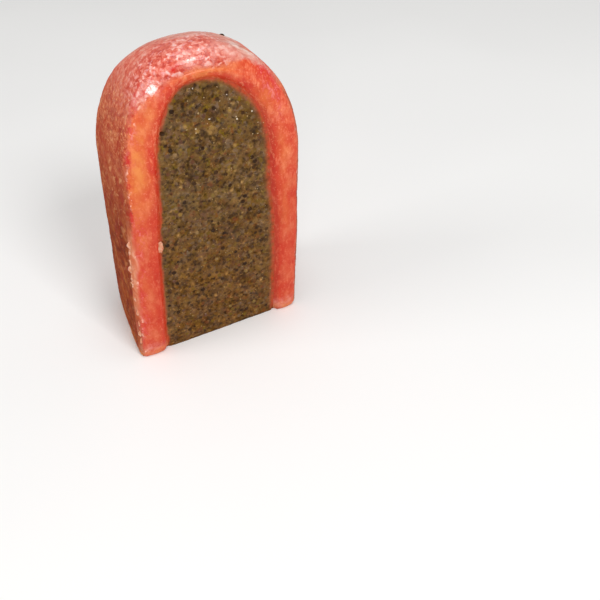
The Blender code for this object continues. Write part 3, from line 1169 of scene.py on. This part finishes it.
def meat_look():
    k = Look("cured_mince")
    rim, cut, gold, pale = (k.mask(n) for n in ("rim", "cut", "gold", "pale"))
    high = k.mask("high")
    torn = k.math("MULTIPLY", k.math("SUBTRACT", k.noise(0.0026, 4.0, 0.65, 0.4), 0.5), 1.1)
    sharp = k.span(k.math("ADD", rim, torn), 0.30, 0.72)
    rim = k.mix(high, sharp, k.span(k.math("ADD", rim, torn), 0.10, 0.95))
    side, crown, red, tan = (k.mask(n) for n in ("side", "crown", "red", "tan"))
    low, foot, coarse, line = (k.mask(n) for n in ("low", "foot", "coarse", "line"))
    band, grey = k.mask("band"), k.mask("grey")

    # the mince's grains: lean to fat, each its own shade
    cell = k.grain(0.0016, k.shaken(0.0022, 0.0026, k.scaled((0.70, 0.66, 1.0), (0.12, 0.1, 0.06))))
    blend = k.noise(0.0033, 3.0, 0.6, 0.3, k.scaled((0.8, 0.66, 1.0)))
    grains = k.math("ADD", k.math("MULTIPLY", cell, 0.44), k.math("MULTIPLY", blend, 0.56))
    fine = k.noise(0.0014, 2.0, 0.6, 0.3)
    grains = k.math("ADD", grains, k.math("MULTIPLY", k.math("SUBTRACT", fine, 0.5), 0.44))
    mince = k.ramp(
        grains,
        (0.30, colour(192, 62, 52)),
        (0.42, colour(216, 92, 74)),
        (0.52, colour(228, 120, 102)),
        (0.62, colour(240, 158, 146)),
        (0.74, colour(248, 206, 200)),
    )

    # sides and back: dusty and browner, with painted shade: the sides darker than the front, and darker still towards
    # the cut
    upright = k.scaled((1.0, 1.0, 0.42), (0.05, 0.08, 0.0))
    level = k.slanted(-0.585, (1.0, 0.40, 0.90))
    hanging = k.slanted(-0.585, (1.0, 0.42, 0.50))
    even = k.noise(0.0027, 3.0, 0.62, 0.4)
    patchy = k.mix(high, k.noise(0.0034, 3.0, 0.62, 0.4, level), even)
    streak = k.mix(low, patchy, k.noise(0.0042, 3.0, 0.60, 0.3, hanging))
    wide = k.noise(0.020, 3.0, 0.55, 0.4, k.scaled((1.0, 0.6, 0.8)))
    v = k.math("ADD", k.math("MULTIPLY", streak, 0.70), k.math("MULTIPLY", wide, 0.30))
    upper = k.ramp(
        v,
        (0.34, colour(160, 54, 40)),
        (0.45, colour(190, 84, 54)),
        (0.54, colour(204, 108, 74)),
        (0.66, colour(218, 142, 102)),
    )
    # painted shade: a darker copy of the upper tones, for the lower half
    lower = k.ramp(
        v,
        (0.34, colour(94, 34, 18)),
        (0.45, colour(126, 52, 26)),
        (0.54, colour(144, 65, 27)),
        (0.66, colour(172, 97, 46)),
    )
    dull_and_shaded = k.mix(low, upper, lower)
    dull_and_shaded = k.mix(
        k.math("MULTIPLY", k.span(k.noise(0.0056, 3.0, 0.6, 0.4, hanging), 0.53, 0.64), 0.50), dull_and_shaded, colour(146, 44, 38)
    )
    flecked = k.math("SUBTRACT", 0.82, k.math("MULTIPLY", low, 0.66))
    dull_and_shaded = k.mix(
        k.math("MULTIPLY", k.span(k.mix(high, k.noise(0.0038, 3.0, 0.6, 0.4, level), k.noise(0.0022, 3.0, 0.6, 0.4, k.scaled((1, 1, 1), (1, 0.4, 2)))), 0.54, 0.66), flecked), dull_and_shaded, colour(234, 170, 116)
    )
    crimson = k.span(k.noise(0.0046, 3.0, 0.6, 0.4, k.slanted(-0.585, (1.1, 0.44, 1.0))), 0.53, 0.61)
    dull_and_shaded = k.mix(k.math("MULTIPLY", crimson, k.math("SUBTRACT", 0.60, k.math("MULTIPLY", low, 0.50))), dull_and_shaded, colour(168, 50, 38))
    # the sides take the darker, browner tones: partly dried skin, partly painted shade
    skin = k.mix(k.math("MULTIPLY", side, 0.94), k.mix(0.5, mince, upper), dull_and_shaded)

    # the crown: paler, streaked along the loaf's breadth
    lying = k.scaled((0.28, 1.0, 1.0), (0.0, 0.0, 0.06))
    wisp = k.noise(0.0036, 4.0, 0.6, 0.4, lying)
    pinkish = k.ramp(
        k.math("ADD", k.math("MULTIPLY", wisp, 0.7), k.math("MULTIPLY", grains, 0.3)),
        (0.34, colour(206, 88, 76)),
        (0.46, colour(220, 116, 100)),
        (0.56, colour(228, 142, 124)),
        (0.68, colour(234, 170, 152)),
    )
    base = k.mix(k.math("MULTIPLY", crown, 0.85), skin, pinkish)
    greyish = k.ramp(wisp, (0.36, colour(208, 146, 132)), (0.52, colour(230, 184, 170)), (0.66, colour(244, 222, 212)))
    base = k.mix(k.math("MULTIPLY", grey, 0.90), base, greyish)
    base = k.mix(k.math("MULTIPLY", coarse, 0.85), base, mince)
    base = k.mix(k.math("MULTIPLY", coarse, k.span(k.noise(0.0024, 3.0, 0.6, 0.3, k.scaled((0.6, 0.7, 1.0))), 0.55, 0.68, 0.0, 0.5)), base, colour(240, 184, 190))

    # the raised edge: film-smooth orange red, redder towards the pepper
    orange = k.ramp(
        k.noise(0.014, 3.0, 0.55, 0.4),
        (0.34, colour(213, 64, 42)),
        (0.50, colour(223, 86, 56)),
        (0.66, colour(231, 116, 78)),
    )
    deep = k.ramp(
        k.noise(0.010, 3.0, 0.5, 0.3),
        (0.36, colour(198, 42, 26)),
        (0.60, colour(216, 66, 40)),
    )
    edge = k.mix(k.math("MULTIPLY", red, 0.85), orange, deep)
    # painted shade: the raised edge darker towards the foot
    edge = k.mix(k.math("MULTIPLY", low, 0.34), edge, colour(178, 50, 20))
    dash = k.noise(0.0030, 3.0, 0.6, 0.3, upright)
    calm = k.math("SUBTRACT", 1.0, k.math("MULTIPLY", low, 0.6))
    edge = k.mix(k.math("MULTIPLY", k.span(dash, 0.50, 0.66, 0.0, 0.50), calm), edge, colour(244, 144, 104))
    edge = k.mix(k.math("MULTIPLY", k.span(dash, 0.34, 0.48, 0.50, 0.0), calm), edge, colour(204, 46, 38))
    edge = k.mix(k.math("MULTIPLY", k.span(fine, 0.56, 0.70, 0.0, 0.42), calm), edge, colour(246, 162, 126))
    edge = k.mix(k.math("MULTIPLY", k.span(fine, 0.30, 0.44, 0.34, 0.0), calm), edge, colour(206, 50, 36))
    edge = k.mix(
        k.math("MULTIPLY", gold, k.span(k.noise(0.008, 3.0, 0.55, 0.3), 0.34, 0.60, 0.40, 0.88)),
        edge,
        colour(236, 148, 80),
    )
    edge = k.mix(k.math("MULTIPLY", tan, 0.88), edge, k.ramp(dash, (0.40, colour(146, 66, 38)), (0.62, colour(176, 92, 56))))
    base = k.mix(rim, base, edge)
    bright_bits = k.noise(0.0026, 3.0, 0.62, 0.5, k.scaled((1.0, 1.0, 0.7)))
    base = k.mix(k.math("MULTIPLY", k.mask("violet"), k.span(bright_bits, 0.42, 0.56, 0.10, 0.80)), base, colour(216, 56, 70))
    base = k.mix(k.math("MULTIPLY", k.mask("violet"), k.span(bright_bits, 0.54, 0.66, 0.0, 0.80)), base, colour(242, 156, 150))

    # bits along the fold: red, then pale, then red; the pale dashes are painted highlight along the fold
    bits = k.noise(0.0062, 3.0, 0.6, 0.3, k.scaled((1.0, 1.0, 0.8)))
    base = k.mix(k.math("MULTIPLY", line, k.span(bits, 0.52, 0.60, 0.0, 0.75)), base, colour(204, 40, 42))
    base = k.mix(k.math("MULTIPLY", line, k.span(bits, 0.36, 0.43, 1.0, 0.0)), base, colour(248, 190, 170))
    scraps = k.noise(0.0048, 2.0, 0.5, 0.6, upright)
    base = k.mix(k.math("MULTIPLY", band, 0.85), base, k.ramp(scraps, (0.36, colour(210, 108, 74)), (0.52, colour(220, 134, 98)), (0.68, colour(236, 168, 138))))
    base = k.mix(k.mask("spots"), base, colour(208, 34, 30))

    # pale casing and fat showing through, and painted highlight: pinkish-white patches where the wet shoulder and crown
    # catch the lights
    sheen_veil = k.math("MULTIPLY", pale, k.span(k.noise(0.0026, 3.0, 0.6, 0.5), 0.36, 0.62, 0.15, 1.0))
    base = k.mix(k.math("MULTIPLY", sheen_veil, 0.70), base, colour(248, 196, 186))
    # painted highlight: a paler band along the foot's rounded edge, where it catches the light
    base = k.mix(k.math("MULTIPLY", foot, k.span(k.noise(0.0050, 3.0, 0.6), 0.36, 0.60, 0.10, 0.60)), base, colour(232, 146, 88))

    # the cut end: fresh pink, with white flecks
    inside_pink = k.ramp(
        grains,
        (0.26, colour(196, 60, 60)),
        (0.40, colour(220, 92, 86)),
        (0.54, colour(232, 134, 122)),
        (0.64, colour(246, 204, 194)),
    )
    base = k.mix(cut, base, inside_pink)

    quiet = k.math("SUBTRACT", 1.0, k.math("MAXIMUM", k.math("MULTIPLY", rim, 0.75), k.math("MULTIPLY", side, 0.55)))
    relief = k.math("ADD", k.math("MULTIPLY", cell, 0.5), k.math("MULTIPLY", fine, 0.5))
    normal = k.bump(k.math("MULTIPLY", relief, quiet), 0.00022, 0.9)
    normal = k.bump(k.noise(0.0007, 2.0, 0.5), 0.00004, 0.5, normal)
    film = k.bump(k.noise(0.0034, 2.0, 0.5), 0.00012, 0.8)
    wet = k.math("SUBTRACT", 0.40, k.math("MULTIPLY", side, 0.37))
    wet = k.math("MAXIMUM", wet, k.math("MULTIPLY", rim, 0.40))
    wet = k.math("MULTIPLY", wet, k.math("SUBTRACT", 1.0, k.math("MULTIPLY", gold, 0.85)))
    k.set(
        Base_Color=base,
        Roughness=k.span(k.noise(0.006, 3.0, 0.6), 0.3, 0.7, 0.40, 0.60),
        Normal=normal,
        Specular_IOR_Level=0.0,
        Subsurface_Weight=0.15,
        Subsurface_Radius=(0.0030, 0.0010, 0.0006),
        Subsurface_Scale=1.0,
        Coat_Weight=k.math("MAXIMUM", wet, k.math("MULTIPLY", pale, k.span(k.noise(0.0024, 3.0, 0.6, 0.4), 0.36, 0.56, 0.15, 1.0))),
        Coat_Roughness=0.10,
    )
    k.link(film, k.shader.inputs["Coat Normal"])
    return k.mat


CORN_TONES = (
    (0.00, colour(72, 46, 18)),
    (0.14, colour(92, 62, 38)),
    (0.28, colour(116, 88, 24)),
    (0.42, colour(108, 74, 36)),
    (0.56, colour(122, 96, 68)),
    (0.68, colour(100, 68, 50)),
    (0.80, colour(116, 64, 28)),
    (0.92, colour(132, 104, 50)),
    (1.00, colour(150, 118, 76)),
)


def jelly_look():
    k = Look("pepper_jelly")
    edge, tint, shaded_pit = (k.mask(n) for n in ("edge", "tint", "shaded_pit"))
    # turbid brown jelly, its hue drifting from olive to grey and rust
    base = k.ramp(
        k.noise(0.0120, 4.0, 0.65, 0.5),
        (0.32, colour(68, 44, 18)),
        (0.44, colour(98, 69, 30)),
        (0.55, colour(118, 85, 41)),
        (0.68, colour(144, 108, 60)),
    )
    split = k.node("ShaderNodeSeparateXYZ")
    k.link(k.place, split.inputs[0])
    upper = k.span(split.outputs[2], 0.10, 0.185, 0.40, 1.0)
    for size, turn, low, high, share, tone in (
        (0.0180, (3, 0.6, 1.7), 0.48, 0.66, 0.60, colour(116, 92, 58)),
        (0.0150, (0.2, 1.6, 2.7), 0.50, 0.66, 0.50, colour(84, 56, 30)),
        (0.0085, (1, 2, 3), 0.53, 0.66, 0.70, colour(108, 74, 54)),
        (0.0060, (2, 1, 0.4), 0.55, 0.66, 0.80, colour(128, 102, 10)),
        (0.0050, (0.4, 2.2, 1), 0.57, 0.68, 0.65, colour(122, 66, 22)),
        (0.0060, (1.4, 0.2, 2), 0.55, 0.66, 0.70, colour(58, 44, 22)),
        (0.0044, (2.2, 0.9, 0.3), 0.54, 0.66, 0.60, colour(128, 104, 84)),
        (0.0040, (0.7, 2.9, 1.1), 0.55, 0.67, 0.65, colour(106, 74, 10)),
    ):
        patch = k.span(k.noise(size, 3.0, 0.6, 0.4, k.scaled((1, 1, 1), turn)), low, high)
        if size == 0.0060 and share == 0.80:  # the olive fades downward
            patch = k.math("MULTIPLY", patch, upper)
        base = k.mix(k.math("MULTIPLY", patch, share), base, tone)
    own = k.ramp(tint, *CORN_TONES)
    broken = k.span(k.noise(0.0024, 3.0, 0.6, 0.5), 0.36, 0.58, 0.35, 1.0)
    base = k.mix(k.math("MULTIPLY", k.mask("seen_olive"), k.math("MULTIPLY", broken, 0.75)), base, own)
    base = k.mix(k.math("MULTIPLY", k.mask("seen_tan"), k.math("MULTIPLY", broken, 0.85)), base, colour(186, 144, 84))
    base = k.mix(k.math("MULTIPLY", k.mask("seen_dark"), k.math("MULTIPLY", broken, 0.85)), base, colour(56, 32, 10))
    grit = k.noise(0.0031, 3.0, 0.7, 0.4)
    base = k.mix(k.math("MULTIPLY", k.span(grit, 0.54, 0.66), 0.74), base, colour(42, 24, 6))
    base = k.mix(k.math("MULTIPLY", k.span(grit, 0.30, 0.44, 1.0, 0.0), 0.65), base, colour(170, 132, 76))
    # painted shade: the pits between corns are darkened in colour
    base = k.mix(k.math("MULTIPLY", shaded_pit, 0.92), base, colour(38, 20, 4))
    warm = k.span(split.outputs[2], 0.035, 0.150, 1.0, 0.0)
    base = k.mix(warm, base, (0.97, 0.83, 0.62, 1.0), "MULTIPLY")
    rust = k.ramp(edge, (0.20, colour(124, 84, 50)), (0.60, colour(160, 86, 54)), (0.97, colour(196, 72, 44)))
    base = k.mix(k.math("MULTIPLY", edge, k.span(k.noise(0.0035, 3.0, 0.6), 0.3, 0.7, 0.45, 1.0)), base, rust)
    normal = k.bump(k.noise(0.0019, 3.0, 0.6), 0.00030, 0.9)
    k.set(
        Base_Color=base,
        Roughness=k.span(k.noise(0.005, 3.0, 0.6), 0.3, 0.7, 0.40, 0.60),
        Normal=normal,
        Specular_IOR_Level=0.0,
        Coat_Weight=k.span(k.noise(0.009, 3.0, 0.6), 0.35, 0.65, 0.10, 0.40),
        Coat_Roughness=0.08,
    )
    k.link(normal, k.shader.inputs["Coat Normal"])
    return k.mat


def corn_look(name, stops, wet=0.30):
    k = Look(name)
    tone = k.ramp(k.mask("tint"), *stops)
    mottled = k.mix(k.math("MULTIPLY", k.span(k.noise(0.0009, 3.0, 0.6), 0.35, 0.65), 0.5), tone, k.mix(0.55, tone, colour(34, 20, 6)))
    normal = k.bump(k.noise(0.0008, 3.0, 0.6), 0.00010, 0.8)
    k.set(
        Base_Color=mottled,
        Roughness=k.span(k.noise(0.0012, 2.0, 0.5), 0.3, 0.7, 0.40, 0.60),
        Normal=normal,
        Specular_IOR_Level=0.0,
        Coat_Weight=wet,
        Coat_Roughness=0.10,
    )
    k.link(normal, k.shader.inputs["Coat Normal"])
    return k.mat


def grain_and_glint_look():
    k = Look("crushed_pepper_and_glints")
    # painted highlight: the near-white top of the ramp makes the glints; lower tones are pale pepper
    tone = k.ramp(k.mask("tint"), (0.0, colour(132, 98, 48)), (0.5, colour(176, 146, 96)), (0.95, colour(214, 190, 150)), (1.0, colour(250, 240, 224)))
    base = k.mix(k.span(k.noise(0.0006, 2.0, 0.5), 0.45, 0.65, 0.0, 0.25), tone, colour(120, 86, 40))
    normal = k.bump(k.noise(0.0005, 2.0, 0.5), 0.00005, 0.6)
    k.set(
        Base_Color=base,
        Roughness=k.span(k.noise(0.0008, 2.0, 0.5), 0.3, 0.7, 0.35, 0.50),
        Normal=normal,
        Specular_IOR_Level=0.0,
        Coat_Weight=0.6,
        Coat_Roughness=0.10,
    )
    return k.mat


def shred_look():
    k = Look("casing")
    base = k.ramp(
        k.noise(0.0024, 3.0, 0.6),
        (0.35, colour(216, 128, 94)),
        (0.65, colour(236, 172, 142)),
    )
    normal = k.bump(k.noise(0.0010, 3.0, 0.6), 0.00010, 0.7)
    k.set(
        Base_Color=base,
        Roughness=k.span(k.noise(0.002, 2.0, 0.5), 0.3, 0.7, 0.30, 0.50),
        Normal=normal,
        Subsurface_Weight=0.3,
        Subsurface_Radius=(0.0020, 0.0008, 0.0006),
        Subsurface_Scale=1.0,
        Specular_IOR_Level=0.0,
        Coat_Weight=0.12,
        Coat_Roughness=0.20,
    )
    return k.mat


meat.data.materials.append(meat_look())
gel.data.materials.append(jelly_look())
dark = corn_look(
    "peppercorn_dark",
    ((0.0, colour(46, 26, 8)), (0.5, colour(62, 38, 14)), (1.0, colour(78, 50, 22))),
)
olive = corn_look("peppercorn_olive", CORN_TONES)
light = corn_look(
    "peppercorn_tan",
    ((0.0, colour(148, 114, 54)), (0.6, colour(178, 140, 74)), (1.0, colour(192, 146, 92))),
)
for piece, look in zip(corn_objects, (dark, olive, light)):
    piece.data.materials.append(look)
loose.data.materials.append(dark)
flaps.data.materials.append(shred_look())
grains.data.materials.append(grain_and_glint_look())


# ---- floor, light and camera ---------------------------------------------------
bm = bmesh.new()
bmesh.ops.create_grid(bm, x_segments=1, y_segments=1, size=6.0)
floor_mesh = bpy.data.meshes.new("floor")
bm.to_mesh(floor_mesh)
bm.free()
floor = bpy.data.objects.new("floor", floor_mesh)
bpy.context.scene.collection.objects.link(floor)
floor.location = (0, 0, -0.0002)
pale_floor = Look("floor")
pale_floor.set(
    Base_Color=pale_floor.ramp(
        pale_floor.noise(0.4, 2.0, 0.5), (0.4, (0.93, 0.93, 0.925, 1)), (0.6, (0.95, 0.95, 0.945, 1))
    ),
    Roughness=0.6,
)
floor_mesh.materials.append(pale_floor.mat)

world = bpy.data.worlds.new("studio")
bpy.context.scene.world = world
world.use_nodes = True
world.node_tree.nodes["Background"].inputs["Color"].default_value = (1.0, 0.985, 0.96, 1)
world.node_tree.nodes["Background"].inputs["Strength"].default_value = 0.28


def softbox(name, toward, distance, size, watts, tone=(1, 1, 1), aim=(0, 0, 0.11)):
    """A square light. toward is in the view's level frame: +X right, +Y away."""
    data = bpy.data.lights.new(name, "AREA")
    data.shape = "SQUARE"
    data.size = size
    data.energy = watts
    data.color = tone
    obj = bpy.data.objects.new(name, data)
    bpy.context.scene.collection.objects.link(obj)
    d = turned(np.array(toward) / np.linalg.norm(toward))
    spot = np.array(aim) + d * distance
    obj.location = spot
    obj.rotation_euler = (Vector(aim) - Vector(spot)).to_track_quat("-Z", "Y").to_euler()
    return obj


softbox("key", (0.50, -0.60, 0.68), 3.0, 0.9, 41.0)
softbox("overhead", (0.10, -0.05, 1.0), 3.0, 1.3, 30.5)
softbox("left", (-0.95, -0.25, 0.50), 3.0, 1.2, 22.0)
softbox("front", (0.01, -0.96, 0.29), 1.1, 0.13, 1.4, aim=(-0.028, -0.039, 0.206))

camera_data = bpy.data.cameras.new("camera")
camera_data.sensor_width = 36.0
camera_data.lens = FOCAL_PX / 600.0 * 36.0
camera_data.clip_start = 0.01
camera = bpy.data.objects.new("camera", camera_data)
bpy.context.scene.collection.objects.link(camera)
turn = Matrix((RIGHT, UPWARD, -FORWARD)).transposed().to_4x4()
turn.translation = Vector(CAMERA)
camera.matrix_world = turn
bpy.context.scene.camera = camera
bpy.context.scene.view_settings.view_transform = "Standard"
